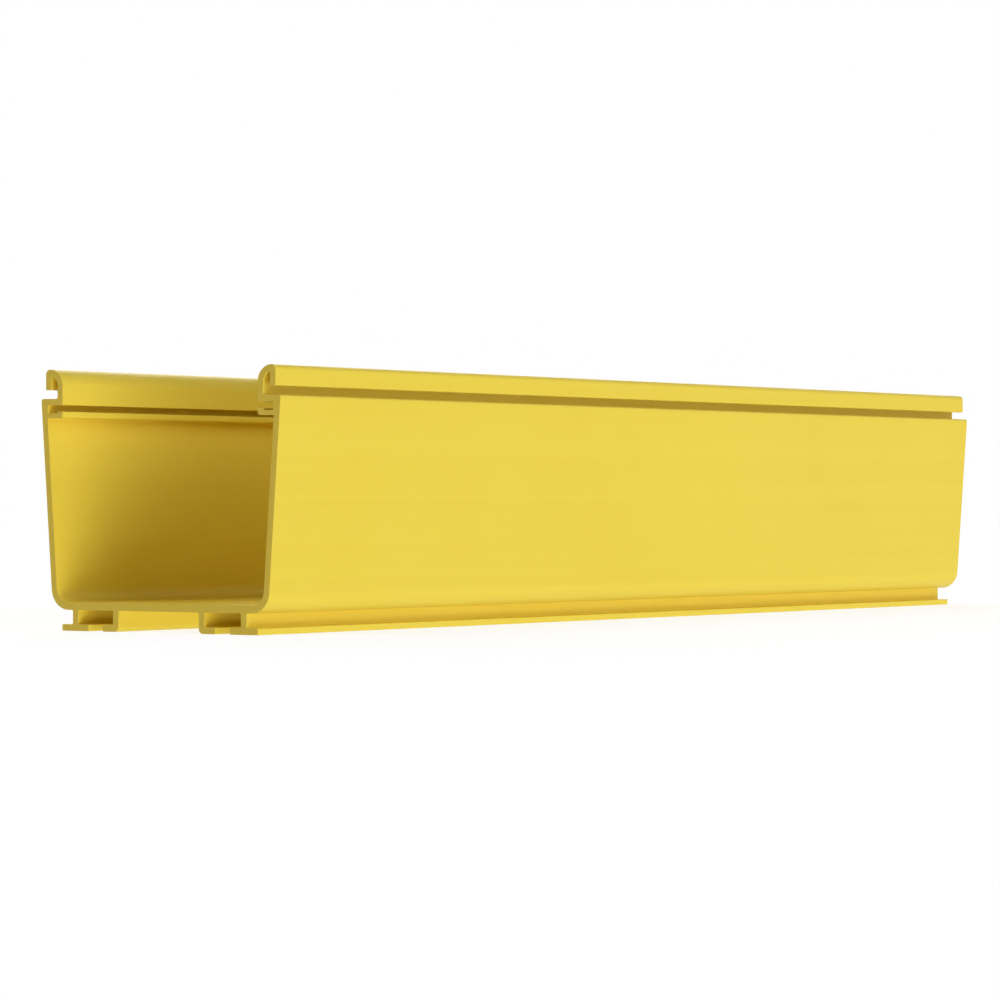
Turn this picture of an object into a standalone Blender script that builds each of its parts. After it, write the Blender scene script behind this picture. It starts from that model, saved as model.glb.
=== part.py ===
"""Fibre optic raceway: one length of yellow PVC channel, extruded in one piece and cut square at both ends.

Metres, +Z up. The channel runs along Y, with the end that faces the viewer at -Y. X is across it, and
Z = 0 is the underside of its two rails. The origin is on the centre plane, half way along.

The section is symmetric. It is drawn once for +X as an open line from the centre plane out and back, and
mirrored. Going round it: the floor's underside, the rail with its slot, the outer wall, the shoulder, the
neck and its hook, the groove over the ledge, the inner wall and the floor's upper side.
"""

import math

import bmesh
import bpy

# Overall sizes
LENGTH = 0.6096
WIDTH = 0.1326  # over the outer walls, where they meet the shoulders
HEIGHT = 0.1140  # underside of the rails to the top of the hooks

# Trough
WALL = 0.0031
FLOOR = 0.0033
TAPER = math.radians(4.1)  # how far each wall leans outwards
CORNER = 0.0095  # outer radius where a wall turns into the floor

# Shoulder, neck and hook, which a cover and the couplers clip over
HOOK_HEIGHT = 0.0128  # top of the shoulder to top of the hook
SHOULDER = 0.0028
SHOULDER_EDGE = 0.0011  # radius of the shoulder's outer edge
NECK = 0.0030
NECK_INSET = 0.0093  # outer wall to the neck's outer face
NOTCH_ROUND = 0.0008  # radius where the neck stands on the shoulder
HOOK_BEND = 0.0073  # outer radius on the side of the neck
LIP_BEND = 0.0023  # outer radius on the side of the lip
LIP = 0.0031
LIP_DROP = 0.0090  # top of the hook to the lip's lower edge
LIP_EDGE = 0.0006
SLIT_TIP = 0.0004  # radius at the top of the slit inside the hook

# Ledge and groove inside the wall, under the shoulder
GROOVE = 0.0036  # clear height
GROOVE_WALL = 0.0039  # WIDTH's outer face to the back of the groove
LEDGE = 0.00205
LEDGE_NOSE = 0.0012  # radius of the ledge's lower front edge
BEAD = 0.0008  # height of the bead along the ledge's front
BEAD_WIDTH = 0.0030
BEAD_EDGE = 0.0003

# Slotted rails under the floor, for hangers and bolt heads
RAIL_DEPTH = 0.0091  # underside of the rail to underside of the floor
RAIL_WIDTH = 0.02595  # over both webs
RAIL_INSET = 0.0027  # end of the corner's bend to the outer web
WEB = 0.00315
FOOT = 0.0029  # thickness of the foot and the flange
SLOT = 0.0080
FLANGE = 0.0060  # how far the flange stands out past the outer web
FOOT_BEND = 0.0022  # radius under the inner web
FLANGE_EDGE = 0.0005

INSIDE_ROUND = 0.0004  # the die's radius in every other inside corner
EDGE_ROUND = 0.0003  # and on every other outside edge

CHORD_ERROR = 0.00002  # most that a facet may stand off its true arc
FEWEST_FACETS = 3  # on any bend
SHARP_ANGLE = math.radians(30)  # edges that turn more than this are shaded sharp

YELLOW = (0.838, 0.665, 0.070, 1.0)
ROUGHNESS = 0.38
METALLIC = 0.0


def arc(centre, radius, start, end):
    """Points along an arc, both ends included. Angles are in radians from +X towards +Z."""
    widest_facet = 2 * math.acos(1 - CHORD_ERROR / radius)
    facets = max(FEWEST_FACETS, math.ceil(abs(end - start) / widest_facet))
    points = []
    for step in range(facets + 1):
        angle = start + (end - start) * step / facets
        points.append((centre[0] + radius * math.cos(angle), centre[1] + radius * math.sin(angle)))
    return points


def bend(before, corner, after, radius):
    """The arc of this radius that touches both straight sides of a corner."""
    to_before = (before[0] - corner[0], before[1] - corner[1])
    to_after = (after[0] - corner[0], after[1] - corner[1])
    heading_before = math.atan2(to_before[1], to_before[0])
    heading_after = math.atan2(to_after[1], to_after[0])
    opening = (heading_after - heading_before + math.pi) % math.tau - math.pi
    middle = heading_before + opening / 2
    reach = radius / math.sin(abs(opening) / 2)
    centre = (corner[0] + reach * math.cos(middle), corner[1] + reach * math.sin(middle))
    side = math.copysign(math.pi / 2, opening)
    start = heading_before - side
    return arc(centre, radius, start, start + opening - 2 * side)


def rounded(corners):
    """An open line through (x, z, radius) corners. Its two end points are kept as they are."""
    points = [corners[0][:2]]
    for before, corner, after in zip(corners, corners[1:], corners[2:]):
        points += bend(before, corner, after, corner[2])
    return points + [corners[-1][:2]]


def wall_x(z, depth=0.0):
    """Where the leaning wall is at a height: its outer face, or a plane that is depth inside it."""
    return WIDTH / 2 - (HEIGHT - HOOK_HEIGHT - z) * math.tan(TAPER) - depth / math.cos(TAPER)


def corner_end():
    """How far out the floor is flat underneath: where the corner's bend starts."""
    return wall_x(RAIL_DEPTH) - CORNER * math.tan((math.pi / 2 - TAPER) / 2)


def under_floor():
    """From the centre plane round the rail and the corner, up the outer wall to the neck's outer face."""
    outer_web = corner_end() - RAIL_INSET
    inner_web = outer_web - RAIL_WIDTH
    slot_near = (inner_web + outer_web - SLOT) / 2
    slot_far = slot_near + SLOT
    flange_end = outer_web + FLANGE
    shoulder_top = HEIGHT - HOOK_HEIGHT
    return [
        (0.0, RAIL_DEPTH, 0.0),
        (inner_web, RAIL_DEPTH, INSIDE_ROUND),
        (inner_web, 0.0, FOOT_BEND),
        (slot_near, 0.0, EDGE_ROUND),
        (slot_near, FOOT, EDGE_ROUND),
        (inner_web + WEB, FOOT, INSIDE_ROUND),
        (inner_web + WEB, RAIL_DEPTH, INSIDE_ROUND),
        (outer_web - WEB, RAIL_DEPTH, INSIDE_ROUND),
        (outer_web - WEB, FOOT, INSIDE_ROUND),
        (slot_far, FOOT, EDGE_ROUND),
        (slot_far, 0.0, EDGE_ROUND),
        (flange_end, 0.0, FLANGE_EDGE),
        (flange_end, FOOT, FLANGE_EDGE),
        (outer_web, FOOT, INSIDE_ROUND),
        (outer_web, RAIL_DEPTH, INSIDE_ROUND),
        (wall_x(RAIL_DEPTH), RAIL_DEPTH, CORNER),
        (WIDTH / 2, shoulder_top, SHOULDER_EDGE),
        (WIDTH / 2 - NECK_INSET, shoulder_top, NOTCH_ROUND),
    ]


def over_floor():
    """From the lip's lower edge over the hook, down round the groove and the ledge to the centre plane."""
    neck_inside = WIDTH / 2 - NECK_INSET - NECK
    lip_outside = neck_inside + HOOK_BEND + LIP_BEND
    lip_bottom = HEIGHT - LIP_DROP
    groove_top = HEIGHT - HOOK_HEIGHT - SHOULDER
    groove_back = WIDTH / 2 - GROOVE_WALL
    ledge_top = groove_top - GROOVE
    ledge_bottom = ledge_top - LEDGE
    floor_top = RAIL_DEPTH + FLOOR
    return [
        (lip_outside - LIP, lip_bottom, EDGE_ROUND),
        (lip_outside, lip_bottom, LIP_EDGE),
        (lip_outside, HEIGHT, LIP_BEND),
        (neck_inside, HEIGHT, HOOK_BEND),
        (neck_inside, groove_top, EDGE_ROUND),
        (groove_back, groove_top, INSIDE_ROUND),
        (groove_back, ledge_top, INSIDE_ROUND),
        (neck_inside + BEAD_WIDTH, ledge_top, BEAD_EDGE),
        (neck_inside + BEAD_WIDTH, ledge_top + BEAD, BEAD_EDGE),
        (neck_inside, ledge_top + BEAD, BEAD_EDGE),
        (neck_inside, ledge_bottom, LEDGE_NOSE),
        (wall_x(ledge_bottom, WALL), ledge_bottom, INSIDE_ROUND),
        (wall_x(floor_top, WALL), floor_top, CORNER - WALL),
        (0.0, floor_top, 0.0),
    ]


def slit():
    """The slit's top, from the neck to the lip: an arc inside the hook's bend, ended by a small round tip."""
    neck_outside = WIDTH / 2 - NECK_INSET
    hook_centre = (neck_outside - NECK + HOOK_BEND, HEIGHT - HOOK_BEND)
    lip_inside = hook_centre[0] + LIP_BEND - LIP
    inner_bend = HOOK_BEND - NECK
    tip_x = lip_inside - SLIT_TIP
    tip_rise = math.sqrt((inner_bend - SLIT_TIP) ** 2 - (tip_x - hook_centre[0]) ** 2)
    meeting = math.atan2(tip_rise, tip_x - hook_centre[0])
    tip_centre = (tip_x, hook_centre[1] + tip_rise)
    return arc(hook_centre, inner_bend, math.pi, meeting) + arc(tip_centre, SLIT_TIP, meeting, 0.0)[1:]


def section():
    """The whole closed outline, as (x, z) points."""
    arch = slit()
    lower = rounded(under_floor() + [arch[0]])
    upper = rounded([arch[-1]] + over_floor())
    half = lower[1:] + arch[1:] + upper[1:-1]
    return half + [(-x, z) for x, z in reversed(half)]


def extrude(name, outline, length):
    """A solid of this section, centred on Y = 0."""
    shape = bmesh.new()
    corners = [shape.verts.new((x, -length / 2, z)) for x, z in outline]
    cap = shape.faces.new(corners)
    grown = bmesh.ops.extrude_face_region(shape, geom=[cap])
    moved = [item for item in grown["geom"] if isinstance(item, bmesh.types.BMVert)]
    bmesh.ops.translate(shape, verts=moved, vec=(0.0, length, 0.0))
    bmesh.ops.recalc_face_normals(shape, faces=shape.faces)
    mesh = bpy.data.meshes.new(name)
    shape.to_mesh(mesh)
    shape.free()
    mesh.shade_smooth()
    mesh.set_sharp_from_angle(angle=SHARP_ANGLE)
    return mesh


def yellow_pvc():
    """The channel's own colour all through, with the soft gloss that the die leaves."""
    material = bpy.data.materials.new("yellow_pvc")
    material.use_nodes = True
    shader = material.node_tree.nodes["Principled BSDF"]
    shader.inputs["Base Color"].default_value = YELLOW
    shader.inputs["Roughness"].default_value = ROUGHNESS
    shader.inputs["Metallic"].default_value = METALLIC
    material.diffuse_color = YELLOW
    return material


def clear_scene():
    for thing in list(bpy.data.objects):
        bpy.data.objects.remove(thing, do_unlink=True)


def main():
    clear_scene()
    mesh = extrude("raceway_channel", section(), LENGTH)
    mesh.materials.append(yellow_pvc())
    channel = bpy.data.objects.new("raceway_channel", mesh)
    bpy.context.scene.collection.objects.link(channel)


main()
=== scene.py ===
"""Looks of the fibre optic raceway: its fine surface, its two finishes, a plain studio and the camera.

Metres, +Z up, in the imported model's frame. The channel runs along Y and rests on Z = 0, near end at -Y.
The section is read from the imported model, and every facet of a bend is put back onto its true arc. So the
piece that shows here has the model's own shape, with finer bends, exact surface directions and eased cuts.
"""

import logging
import math
from dataclasses import dataclass, field
from enum import Enum
from typing import Any

import bpy
import numpy as np
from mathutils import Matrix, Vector


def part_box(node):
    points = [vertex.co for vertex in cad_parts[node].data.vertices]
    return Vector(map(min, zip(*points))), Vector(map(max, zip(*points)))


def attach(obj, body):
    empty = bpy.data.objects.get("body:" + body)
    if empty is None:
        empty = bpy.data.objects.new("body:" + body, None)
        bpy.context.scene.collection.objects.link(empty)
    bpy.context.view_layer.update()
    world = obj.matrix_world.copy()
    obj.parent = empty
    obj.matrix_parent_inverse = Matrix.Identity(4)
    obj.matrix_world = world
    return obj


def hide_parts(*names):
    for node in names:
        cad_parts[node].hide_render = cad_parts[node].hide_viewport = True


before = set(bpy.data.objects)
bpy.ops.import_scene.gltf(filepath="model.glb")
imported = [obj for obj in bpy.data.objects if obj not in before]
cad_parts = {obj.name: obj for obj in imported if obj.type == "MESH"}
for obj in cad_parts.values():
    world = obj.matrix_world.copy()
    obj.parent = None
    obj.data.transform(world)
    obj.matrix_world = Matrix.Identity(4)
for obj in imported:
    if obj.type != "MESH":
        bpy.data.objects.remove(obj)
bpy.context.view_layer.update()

log = logging.getLogger("raceway")

Colour = tuple[float, float, float]
Pair = tuple[float, float]
Triple = tuple[float, float, float]

MILLIMETRE = 0.001
MICROMETRE = 0.000001
WHITE = (1.0, 1.0, 1.0, 1.0)
NOISE_MIDDLE = 0.5


class Finish(Enum):
    """The two finishes of the channel, by the number of their material slot."""

    DIE_SKIN = 0
    SAW_CUT = 1


class Signal:
    """One socket of a material, with the arithmetic that its values take."""

    def __init__(self, nodes: "NodeBench", socket: bpy.types.NodeSocket | None) -> None:
        """Wraps a socket that gives a value, a vector or a colour, or None for a node without an output."""
        self.nodes = nodes
        self.socket = socket

    def _math(self, operation: str, first: "Signal | float", second: "Signal | float") -> "Signal":
        """Adds a Math node for one operation on two values."""
        return self.nodes.add("ShaderNodeMath", {"operation": operation}, {0: first, 1: second})

    def __add__(self, other: "Signal | float") -> "Signal":
        """This value plus another."""
        return self._math("ADD", self, other)

    def __radd__(self, other: float) -> "Signal":
        """A number plus this value."""
        return self._math("ADD", other, self)

    def __sub__(self, other: "Signal | float") -> "Signal":
        """This value minus another."""
        return self._math("SUBTRACT", self, other)

    def __rsub__(self, other: float) -> "Signal":
        """A number minus this value."""
        return self._math("SUBTRACT", other, self)

    def __mul__(self, other: "Signal | float") -> "Signal":
        """This value times another."""
        return self._math("MULTIPLY", self, other)

    def __rmul__(self, other: float) -> "Signal":
        """A number times this value."""
        return self._math("MULTIPLY", other, self)

    def at_least(self, other: "Signal | float") -> "Signal":
        """The larger of this value and another."""
        return self._math("MAXIMUM", self, other)

    def at_most(self, other: "Signal | float") -> "Signal":
        """The smaller of this value and another."""
        return self._math("MINIMUM", self, other)


class NodeBench:
    """Makes the nodes of one material or world."""

    def __init__(self, tree: bpy.types.NodeTree) -> None:
        """Starts with an emptied node tree.

        Args:
            tree: The node tree of a material or of the world.
        """
        self.tree = tree
        tree.nodes.clear()

    def add(
        self,
        kind: str,
        settings: dict[str, Any] | None = None,
        inputs: dict[str | int, Any] | None = None,
        output: str | int = 0,
    ) -> Signal:
        """Adds one node.

        Args:
            kind: The node's type, such as ShaderNodeTexNoise.
            settings: The node's own settings, such as an operation, which are set first.
            inputs: Numbers, vectors, colours or signals for its sockets, by name or number.
            output: The socket that is handed back.

        Returns:
            The signal of that output, or an empty one where the node has none.
        """
        node = self.tree.nodes.new(kind)
        for name, value in (settings or {}).items():
            setattr(node, name, value)
        for name, value in (inputs or {}).items():
            if isinstance(value, Signal):
                self.tree.links.new(value.socket, node.inputs[name])
            else:
                node.inputs[name].default_value = value
        return Signal(self, node.outputs[output] if len(node.outputs) else None)

    def places(self) -> Signal:
        """Where a point of the surface is, in the object's own metres."""
        return self.add("ShaderNodeTexCoord", output="Object")

    def stretched(self, places: Signal, scale: Triple) -> Signal:
        """Places multiplied axis by axis, to draw a pattern out along the extrusion."""
        return self.add("ShaderNodeVectorMath", {"operation": "MULTIPLY"}, {0: places, 1: scale})

    def noise(self, places: Signal, size: float, detail: float = 2.0, roughness: float = 0.5) -> Signal:
        """A soft random pattern.

        Args:
            places: Where the pattern is read.
            size: The width of its patches, in metres.
            detail: How many finer layers lie on it.
            roughness: How strong the finer layers are.

        Returns:
            A value that varies round NOISE_MIDDLE.
        """
        settings = {"noise_dimensions": "3D", "normalize": True}
        inputs = {"Vector": places, "Scale": 1.0 / size, "Detail": detail, "Roughness": roughness}
        return self.add("ShaderNodeTexNoise", settings, inputs)

    def blend(self, factor: Signal | float, first: Colour, second: Colour) -> Signal:
        """A colour between two others.

        Args:
            factor: 0 for the first colour, 1 for the second.
            first: A linear colour.
            second: A linear colour.

        Returns:
            The mixed colour.
        """
        settings = {"data_type": "RGBA", "blend_type": "MIX", "clamp_factor": True}
        inputs = {0: factor, 6: (*first, 1.0), 7: (*second, 1.0)}
        return self.add("ShaderNodeMix", settings, inputs, output=2)

    def raised(self, height: Signal) -> Signal:
        """The surface direction where the surface stands out by a height in metres."""
        return self.add("ShaderNodeBump", None, {"Strength": 1.0, "Distance": 1.0, "Height": height})


@dataclass(frozen=True)
class DieSkin:
    """The smooth satin skin that the die leaves: faint draw lines on slow, shallow waves along the length.

    A drift draws its pattern out along the die, the more the smaller it is. The weights share the colour out
    among streaks, patches and lines, and where their mix is under clear_below it is the plain colour.
    """

    colour: Colour = (0.864, 0.664, 0.073)
    streak_colour: Colour = (0.842, 0.640, 0.066)
    streak_weight: float = 1.4
    patch_weight: float = 0.8
    line_weight: float = 0.5
    clear_below: float = 0.42
    colour_contrast: float = 4.0
    roughness: float = 0.44
    roughness_swing: float = 0.12
    roughness_from_patches: float = 0.6
    roughness_from_lines: float = 0.4
    specular: float = 0.14
    line_width: float = 1.6 * MILLIMETRE
    line_height: float = 12.0 * MICROMETRE
    line_drift: float = 0.004
    wave_width: float = 28.0 * MILLIMETRE
    wave_height: float = 45.0 * MICROMETRE
    wave_drift: float = 0.22
    grain_width: float = 0.7 * MILLIMETRE
    grain_height: float = 1.2 * MICROMETRE
    streak_width: float = 7.0 * MILLIMETRE
    patch_width: float = 45.0 * MILLIMETRE

    def material(self) -> bpy.types.Material:
        """Makes the finish.

        Returns:
            A material with colour, gloss and relief of its own.
        """
        material = bpy.data.materials.new("die_skin")
        material.use_nodes = True
        nodes = NodeBench(material.node_tree)
        places = nodes.places()
        along_lines = nodes.stretched(places, (1.0, self.line_drift, 1.0))
        along_waves = nodes.stretched(places, (1.0, self.wave_drift, 1.0))
        lines = nodes.noise(along_lines, self.line_width, detail=3.0, roughness=0.6)
        streaks = nodes.noise(along_lines, self.streak_width, detail=2.0)
        waves = nodes.noise(along_waves, self.wave_width, detail=1.0)
        patches = nodes.noise(places, self.patch_width, detail=3.0)
        grain = nodes.noise(places, self.grain_width, detail=1.0)
        weight = self.streak_weight + self.patch_weight + self.line_weight
        shade = streaks * self.streak_weight + patches * self.patch_weight + lines * self.line_weight
        duller = (shade * (1 / weight) - self.clear_below) * self.colour_contrast
        uneven = patches * self.roughness_from_patches + lines * self.roughness_from_lines - NOISE_MIDDLE
        relief = waves * self.wave_height + lines * self.line_height + grain * self.grain_height
        inputs = {
            "Base Color": nodes.blend(duller.at_least(0.0).at_most(1.0), self.colour, self.streak_colour),
            "Roughness": self.roughness + uneven * self.roughness_swing,
            "Specular IOR Level": self.specular,
            "Normal": nodes.raised(relief),
        }
        shader = nodes.add("ShaderNodeBsdfPrincipled", None, inputs)
        nodes.add("ShaderNodeOutputMaterial", None, {"Surface": shader})
        material.diffuse_color = (*self.colour, 1.0)
        return material


@dataclass(frozen=True)
class SawCut:
    """The sawn end: matt, with faint arcs that the blade's teeth leave.

    Its colour is a little darker and warmer than the skin's: partly the sawn finish, partly painted shade of
    the end face. The arcs run round the saw's arbor. Where the mix of marks and grain is under clear_below,
    the colour is the plain one.
    """

    # darker and warmer than the skin's colour: partly the sawn finish, partly painted shade of the end face
    colour: Colour = (0.815, 0.595, 0.078)
    mark_colour: Colour = (0.770, 0.555, 0.070)
    mark_weight: float = 0.7
    grain_weight: float = 0.3
    clear_below: float = 0.35
    colour_contrast: float = 3.3
    roughness: float = 0.55
    roughness_swing: float = 0.12
    specular: float = 0.20
    arbor: Triple = (0.055, 0.0, -0.118)
    mark_width: float = 0.45 * MILLIMETRE
    mark_height: float = 18.0 * MICROMETRE
    grain_width: float = 0.35 * MILLIMETRE
    grain_height: float = 4.0 * MICROMETRE

    def material(self) -> bpy.types.Material:
        """Makes the finish.

        Returns:
            A material whose marks are arcs round the saw's arbor.
        """
        material = bpy.data.materials.new("saw_cut")
        material.use_nodes = True
        nodes = NodeBench(material.node_tree)
        places = nodes.places()
        spots = {0: nodes.stretched(places, (1.0, 0.0, 1.0)), 1: self.arbor}
        reach = nodes.add("ShaderNodeVectorMath", {"operation": "DISTANCE"}, spots, output="Value")
        rings = nodes.add("ShaderNodeCombineXYZ", None, {"X": reach})
        marks = nodes.noise(rings, self.mark_width, detail=3.0, roughness=0.7)
        grain = nodes.noise(places, self.grain_width, detail=2.0)
        shade = marks * self.mark_weight + grain * self.grain_weight
        duller = (shade - self.clear_below) * self.colour_contrast
        relief = marks * self.mark_height + grain * self.grain_height
        inputs = {
            "Base Color": nodes.blend(duller.at_least(0.0).at_most(1.0), self.colour, self.mark_colour),
            "Roughness": self.roughness + (marks - NOISE_MIDDLE) * self.roughness_swing,
            "Specular IOR Level": self.specular,
            "Normal": nodes.raised(relief),
        }
        shader = nodes.add("ShaderNodeBsdfPrincipled", None, inputs)
        nodes.add("ShaderNodeOutputMaterial", None, {"Surface": shader})
        material.diffuse_color = (*self.colour, 1.0)
        return material


@dataclass
class Section:
    """The channel's cross-section as one closed line, with the way that the surface faces at each point.

    No step of a bend turns by more than finest_step. A facet whose half angle is under flattest_bend is part
    of a flat, and points that round to the same multiple of same_place are one.
    """

    node: str = "raceway_channel"
    finest_step: float = math.radians(3.0)
    flattest_bend: float = math.radians(0.6)
    same_place: float = 0.5 * MICROMETRE
    points: np.ndarray = field(init=False)
    facing: np.ndarray = field(init=False)

    def __post_init__(self) -> None:
        """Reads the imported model's near end and bends its facets back onto their arcs."""
        self._round_bends(self._rim())

    def _rim(self) -> np.ndarray:
        """Reads the outline of the node's near end.

        Returns:
            Its corners as (x, z) rows in order, with the material on the left.
        """
        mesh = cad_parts[self.node].data
        places = np.array([vertex.co for vertex in mesh.vertices], float)
        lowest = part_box(self.node)[0].y
        _, merged = np.unique((places / self.same_place).round().astype(int), axis=0, return_inverse=True)
        merged = merged.ravel()
        where = {spot: places[index] for index, spot in enumerate(merged)}
        onward: dict[tuple[int, int], bool] = {}
        for face in mesh.polygons:
            if all(places[corner][1] < lowest + self.same_place for corner in face.vertices):
                spots = [int(merged[corner]) for corner in face.vertices]
                for start, end in zip(spots, spots[1:] + spots[:1]):
                    onward[start, end] = True
        following = {start: end for start, end in onward if (end, start) not in onward}
        first = next(iter(following))
        loop = [first]
        while following[loop[-1]] != first:
            loop.append(following[loop[-1]])
        outline = np.array([where[spot][[0, 2]] for spot in loop])
        around = np.roll(outline, -1, axis=0)
        area = (outline[:, 0] * around[:, 1] - around[:, 0] * outline[:, 1]).sum() / 2
        return outline if area > 0 else outline[::-1]

    def _round_bends(self, rim: np.ndarray) -> None:
        """Finds the arc behind each facet, and sets the finer points and the way that they face.

        A facet of an arc turns by the same half angle at each of its ends, and a flat by none. The turn at
        a corner is the sum of the half angles on its two sides, so each follows from the one before it,
        from the longest flat on. What is left on a flat is the rounding of the numbers, and is dropped.

        Args:
            rim: The faceted outline.
        """
        sides = np.roll(rim, -1, axis=0) - rim
        longest = int(np.hypot(*sides.T).argmax())
        rim = np.roll(rim, -longest, axis=0)
        sides = np.roll(sides, -longest, axis=0)
        lengths = np.hypot(*sides.T)
        headings = np.arctan2(sides[:, 1], sides[:, 0])
        turns = (headings - np.roll(headings, 1) + math.pi) % math.tau - math.pi
        points: list[Pair] = []
        facing: list[Pair] = []
        half = 0.0
        flats = 0
        for start, length, heading, turn in zip(rim, lengths, headings, turns):
            half = turn - half if points else 0.0
            if abs(half) < self.flattest_bend:
                half = 0.0
                flats += 1
            steps = max(1, math.ceil(2 * abs(half) / self.finest_step))
            for step in range(steps):
                bent = 2 * half * step / steps
                reach = length * (math.sin(bent / 2) / math.sin(half) if step else 0.0)
                way = heading - half + bent / 2
                points.append((start[0] + reach * math.cos(way), start[1] + reach * math.sin(way)))
                facing.append((math.sin(heading - half + bent), -math.cos(heading - half + bent)))
        low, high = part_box(self.node)
        self.points = np.clip(np.array(points), (low.x, low.z), (high.x, high.z))
        self.facing = np.array(facing)
        counts = len(rim), flats, len(points)
        log.info("section: %d corners, %d flats, %d points, closes to %.4f", *counts, abs(turns[0] - half))

    def eased(self, inset: float) -> np.ndarray:
        """The outline drawn in by a distance, square to the surface."""
        return self.points - inset * self.facing

    def distances(self) -> np.ndarray:
        """How far along the outline each point is, with the whole length last."""
        steps = np.hypot(*(np.roll(self.points, -1, axis=0) - self.points).T)
        return np.concatenate([[0.0], np.cumsum(steps)])


@dataclass
class ChannelLength:
    """One straight length of the channel, sawn square at both ends, with the cut edges eased.

    In its flat layout map_margin keeps the parts off each other and off the border, and ends_share is the
    height that the two ends take.
    """

    name: str = "channel_length"
    body: str = "root"
    slot: str = "yellow_pvc"
    section: Section = field(default_factory=Section)
    edge_ease: float = 0.15 * MILLIMETRE
    ease_steps: int = 3
    spans: int = 12
    map_margin: float = 0.004
    ends_share: float = 0.24
    skin: DieSkin = field(default_factory=DieSkin)
    cut: SawCut = field(default_factory=SawCut)

    def _rings(self) -> list[Triple]:
        """Works out the rings from the near end to the far one.

        Returns:
            For each ring its Y, how far it is drawn in, and how much it faces along Y, from -1 to 1.
        """
        low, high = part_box(self.section.node)
        turns = [math.pi / 2 * step / self.ease_steps for step in range(self.ease_steps, 0, -1)]
        ease = [
            (self.edge_ease * (1 - math.sin(turn)), self.edge_ease * (1 - math.cos(turn)), math.sin(turn))
            for turn in turns
        ]
        near = [(low.y + y, inset, -face) for y, inset, face in ease]
        far = [(high.y - y, inset, face) for y, inset, face in reversed(ease)]
        start, end = low.y + self.edge_ease, high.y - self.edge_ease
        middle = [(start + (end - start) * span / self.spans, 0.0, 0.0) for span in range(self.spans + 1)]
        return near + middle + far

    def _shape(self) -> tuple[bpy.types.Mesh, list[Triple]]:
        """Makes the bare mesh.

        Returns:
            The mesh, and the rings that it was made from.
        """
        rings = self._rings()
        count = len(self.section.points)
        vertices = [(x, y, z) for y, inset, _ in rings for x, z in self.section.eased(inset)]
        faces = []
        for ring in range(len(rings) - 1):
            for point in range(count):
                onward = (point + 1) % count
                low, high = ring * count, (ring + 1) * count
                faces.append((low + point, high + point, high + onward, low + onward))
        last = (len(rings) - 1) * count
        faces.append(tuple(range(count)))
        faces.append(tuple(reversed(range(last, last + count))))
        mesh = bpy.data.meshes.new(self.name)
        mesh.from_pydata(vertices, [], faces)
        mesh.update()
        return mesh, rings

    def _is_end(self, face: bpy.types.MeshPolygon) -> bool:
        """True for a sawn end, the only kind of face with more than four corners."""
        return len(face.vertices) > 4

    def _face_ways(self, mesh: bpy.types.Mesh, rings: list[Triple]) -> None:
        """Gives each corner of the mesh its exact surface direction, and each end its flat one.

        Args:
            mesh: The bare mesh.
            rings: The rings that it was made from.
        """
        count = len(self.section.points)
        tilt = np.repeat([face for _, _, face in rings], count)
        level = np.sqrt(1 - tilt**2)
        x, z = np.tile(self.section.facing, (len(rings), 1)).T
        ways = np.stack([x * level, tilt, z * level], axis=1)
        corner_ways = []
        for face in mesh.polygons:
            if self._is_end(face):
                corner_ways += [tuple(face.normal)] * len(face.vertices)
            else:
                corner_ways += [tuple(ways[corner]) for corner in face.vertices]
        mesh.shade_smooth()
        mesh.normals_split_custom_set(corner_ways)

    def _lay_out(self, mesh: bpy.types.Mesh, rings: list[Triple]) -> None:
        """Lays the skin out flat, the outline along U and the length along V, with both ends below it.

        Args:
            mesh: The bare mesh.
            rings: The rings that it was made from.
        """
        low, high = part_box(self.section.node)
        count = len(self.section.points)
        margin, ends = self.map_margin, self.ends_share
        around = self.section.distances()
        around = margin + (1 - 2 * margin) * around / around[-1]
        along = np.cumsum([0.0] + [math.dist(a[:2], b[:2]) for a, b in zip(rings, rings[1:])])
        along = ends + margin + (1 - ends - 2 * margin) * along / along[-1]
        scale = (ends - 2 * margin) / (high.z - low.z)
        places = []
        for index, face in enumerate(mesh.polygons):
            if self._is_end(face):
                shift = margin if face.normal.y < 0 else 3 * margin + scale * (high.x - low.x)
                for corner in face.vertices:
                    spot = mesh.vertices[corner].co
                    places.append((shift + scale * (spot.x - low.x), margin + scale * (spot.z - low.z)))
            else:
                ring, point = divmod(index, count)
                u0, u1, v0, v1 = around[point], around[point + 1], along[ring], along[ring + 1]
                places += [(u0, v0), (u0, v1), (u1, v1), (u1, v0)]
        layer = mesh.uv_layers.new(name="OFBake")
        layer.data.foreach_set("uv", np.array(places, np.float32).ravel())

    def _dress(self, mesh: bpy.types.Mesh, rings: list[Triple]) -> None:
        """Puts the die's skin on the sides and the saw's marks on the ends and their eased edges.

        Args:
            mesh: The bare mesh.
            rings: The rings that it was made from.
        """
        mesh.materials.append(self.skin.material())
        mesh.materials.append(self.cut.material())
        count = len(self.section.points)
        eased = [abs(one[2]) + abs(other[2]) > 0 for one, other in zip(rings, rings[1:])]
        cut = np.concatenate([np.repeat(eased, count), [True, True]])
        slots = np.where(cut, Finish.SAW_CUT.value, Finish.DIE_SKIN.value)
        mesh.polygons.foreach_set("material_index", slots.astype(np.int32))

    def build(self) -> bpy.types.Object:
        """Builds the length and hands it to the frame.

        Returns:
            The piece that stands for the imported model's own node.
        """
        mesh, rings = self._shape()
        self._dress(mesh, rings)
        self._lay_out(mesh, rings)
        self._face_ways(mesh, rings)
        piece = bpy.data.objects.new(self.name, mesh)
        bpy.context.scene.collection.objects.link(piece)
        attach(piece, self.body)
        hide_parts(self.section.node)
        log.info("%s: %d points, %d faces", self.name, len(mesh.vertices), len(mesh.polygons))
        return piece


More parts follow.
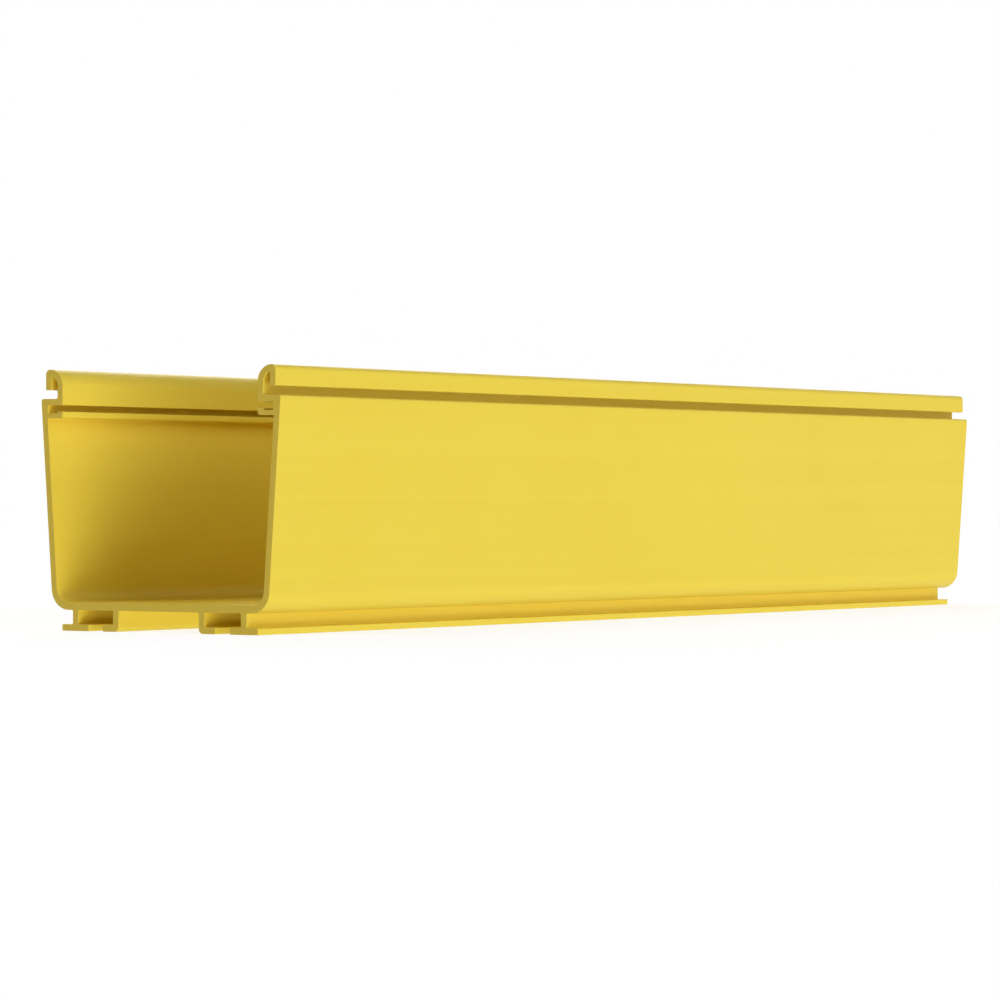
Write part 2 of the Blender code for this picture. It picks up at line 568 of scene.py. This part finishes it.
@dataclass(frozen=True)
class SoftSun:
    """A far studio lamp, so wide that its shadows have no hard edge. Its angles are in degrees."""

    name: str
    azimuth: float
    elevation: float
    spread: float
    strength: float

    def hang(self) -> bpy.types.Object:
        """Hangs the lamp.

        Returns:
            The lamp. Azimuth 0 shines from -Y and 90 from +X.
        """
        lamp = bpy.data.lights.new(self.name, "SUN")
        lamp.energy = self.strength
        lamp.angle = math.radians(self.spread)
        lit = bpy.data.objects.new(self.name, lamp)
        azimuth, elevation = math.radians(self.azimuth), math.radians(self.elevation)
        from_there = Vector((
            math.sin(azimuth) * math.cos(elevation),
            -math.cos(azimuth) * math.cos(elevation),
            math.sin(elevation),
        ))
        lit.rotation_mode = "QUATERNION"
        lit.rotation_quaternion = from_there.to_track_quat("Z", "Y")
        lit.location = from_there
        bpy.context.scene.collection.objects.link(lit)
        return lit


@dataclass
class Studio:
    """A plain white floor and backdrop, a weak fill from all round, and wide lamps, some of them from below.

    The share of the floor's look that comes from the light on it is shadow_depth, and the rest is its glow.
    """

    floor_half: float = 6.0
    floor_drop: float = 0.02 * MILLIMETRE
    floor_grey: float = 0.80
    shadow_depth: float = 0.40
    fill: float = 0.08
    lamps: tuple[SoftSun, ...] = (
        SoftSun("low_key", azimuth=60.0, elevation=-30.0, spread=40.0, strength=1.32),
        SoftSun("level_key", azimuth=60.0, elevation=-8.0, spread=40.0, strength=0.28),
        SoftSun("low_side", azimuth=90.0, elevation=-30.0, spread=40.0, strength=0.38),
        SoftSun("level_side", azimuth=90.0, elevation=0.0, spread=50.0, strength=0.57),
        SoftSun("high_side", azimuth=90.0, elevation=30.0, spread=40.0, strength=0.64),
        SoftSun("low_front", azimuth=-40.0, elevation=-30.0, spread=40.0, strength=0.28),
        SoftSun("front_top", azimuth=-40.0, elevation=55.0, spread=40.0, strength=1.02),
        SoftSun("table_light", azimuth=0.0, elevation=-90.0, spread=60.0, strength=0.58),
        SoftSun("back", azimuth=225.0, elevation=20.0, spread=50.0, strength=1.6),
        SoftSun("low_back", azimuth=255.0, elevation=-10.0, spread=20.0, strength=1.22),
    )

    def _seen(self, nodes: NodeBench) -> Signal:
        """Tells what is looked at from what only gives light.

        Args:
            nodes: The nodes of the floor or of the backdrop.

        Returns:
            1 for the camera, a reflection or a look through clear plastic, and 0 for light.
        """
        seen = nodes.add("ShaderNodeLightPath", output="Is Camera Ray")
        for ray in ("Is Glossy Ray", "Is Transmission Ray"):
            seen = seen.at_least(nodes.add("ShaderNodeLightPath", output=ray))
        return seen

    def _backdrop(self) -> None:
        """Makes the world white to look at, and a weak fill as a light."""
        world = bpy.data.worlds.new("studio_backdrop")
        world.use_nodes = True
        nodes = NodeBench(world.node_tree)
        glow = nodes.add("ShaderNodeBackground", None, {"Color": WHITE, "Strength": self.fill})
        white = nodes.add("ShaderNodeBackground", None, {"Color": WHITE, "Strength": 1.0})
        both = nodes.add("ShaderNodeMixShader", None, {0: self._seen(nodes), 1: glow, 2: white})
        nodes.add("ShaderNodeOutputWorld", None, {"Surface": both})
        bpy.context.scene.world = world

    def _open_floor(self) -> float:
        """How bright the floor is from the light that falls on it, away from the channel."""
        falling = sum(lamp.strength * max(0.0, math.sin(math.radians(lamp.elevation))) for lamp in self.lamps)
        return self.floor_grey * (self.fill + falling / math.pi)

    def _floor(self) -> bpy.types.Object:
        """Lays the floor, like a light table's top.

        It glows up to white, keeps the channel's shadow, and lets light up through it.

        Returns:
            The floor.
        """
        half, under = self.floor_half, -self.floor_drop
        share = 1.0 - self.shadow_depth
        glow = (1.0 - self.shadow_depth * self._open_floor()) / share
        mesh = bpy.data.meshes.new("studio_floor")
        corners = [(-half, -half, under), (half, -half, under), (half, half, under), (-half, half, under)]
        mesh.from_pydata(corners, [], [(0, 1, 2, 3)])
        material = bpy.data.materials.new("studio_floor")
        material.use_nodes = True
        nodes = NodeBench(material.node_tree)
        matt = nodes.add("ShaderNodeBsdfDiffuse", None, {"Color": (*[self.floor_grey] * 3, 1.0)})
        white = nodes.add("ShaderNodeEmission", None, {"Color": WHITE, "Strength": glow})
        both = nodes.add("ShaderNodeMixShader", None, {0: self._seen(nodes) * share, 1: matt, 2: white})
        nodes.add("ShaderNodeOutputMaterial", None, {"Surface": both})
        mesh.materials.append(material)
        floor = bpy.data.objects.new("studio_floor", mesh)
        floor.visible_diffuse = False
        floor.visible_shadow = False
        bpy.context.scene.collection.objects.link(floor)
        return floor

    def build(self) -> list[bpy.types.Object]:
        """Sets the studio up.

        Returns:
            Its lamps.
        """
        scene = bpy.context.scene
        scene.view_settings.view_transform = "Standard"
        self._backdrop()
        self._floor()
        hung = [lamp.hang() for lamp in self.lamps]
        log.info("studio: %d lamps, fill %.2f", len(hung), self.fill)
        return hung


@dataclass(frozen=True)
class PhotoCamera:
    """The photograph's viewpoint: level, at the channel's own height, about 35 degrees off its length.

    The lens and the sensor are in millimetres.
    """

    place: Triple = (1.0799, -1.6071, 0.0562)
    heading: Triple = (-0.5693, 0.8221, 0.000457)
    lens: float = 141.66
    sensor: float = 36.0

    def build(self) -> bpy.types.Object:
        """Sets the camera up.

        Returns:
            The scene's camera.
        """
        data = bpy.data.cameras.new("photo_camera")
        data.lens = self.lens
        data.sensor_width = self.sensor
        camera = bpy.data.objects.new("photo_camera", data)
        camera.location = self.place
        camera.rotation_mode = "QUATERNION"
        camera.rotation_quaternion = Vector(self.heading).to_track_quat("-Z", "Y")
        bpy.context.scene.collection.objects.link(camera)
        bpy.context.scene.camera = camera
        log.info("camera: lens %.2f mm", self.lens)
        return camera


def main() -> None:
    """Builds the camera, the studio and the channel."""
    logging.basicConfig(level=logging.INFO, format="%(name)s: %(message)s")
    PhotoCamera().build()
    Studio().build()
    ChannelLength().build()


if __name__ == "__main__":
    main()
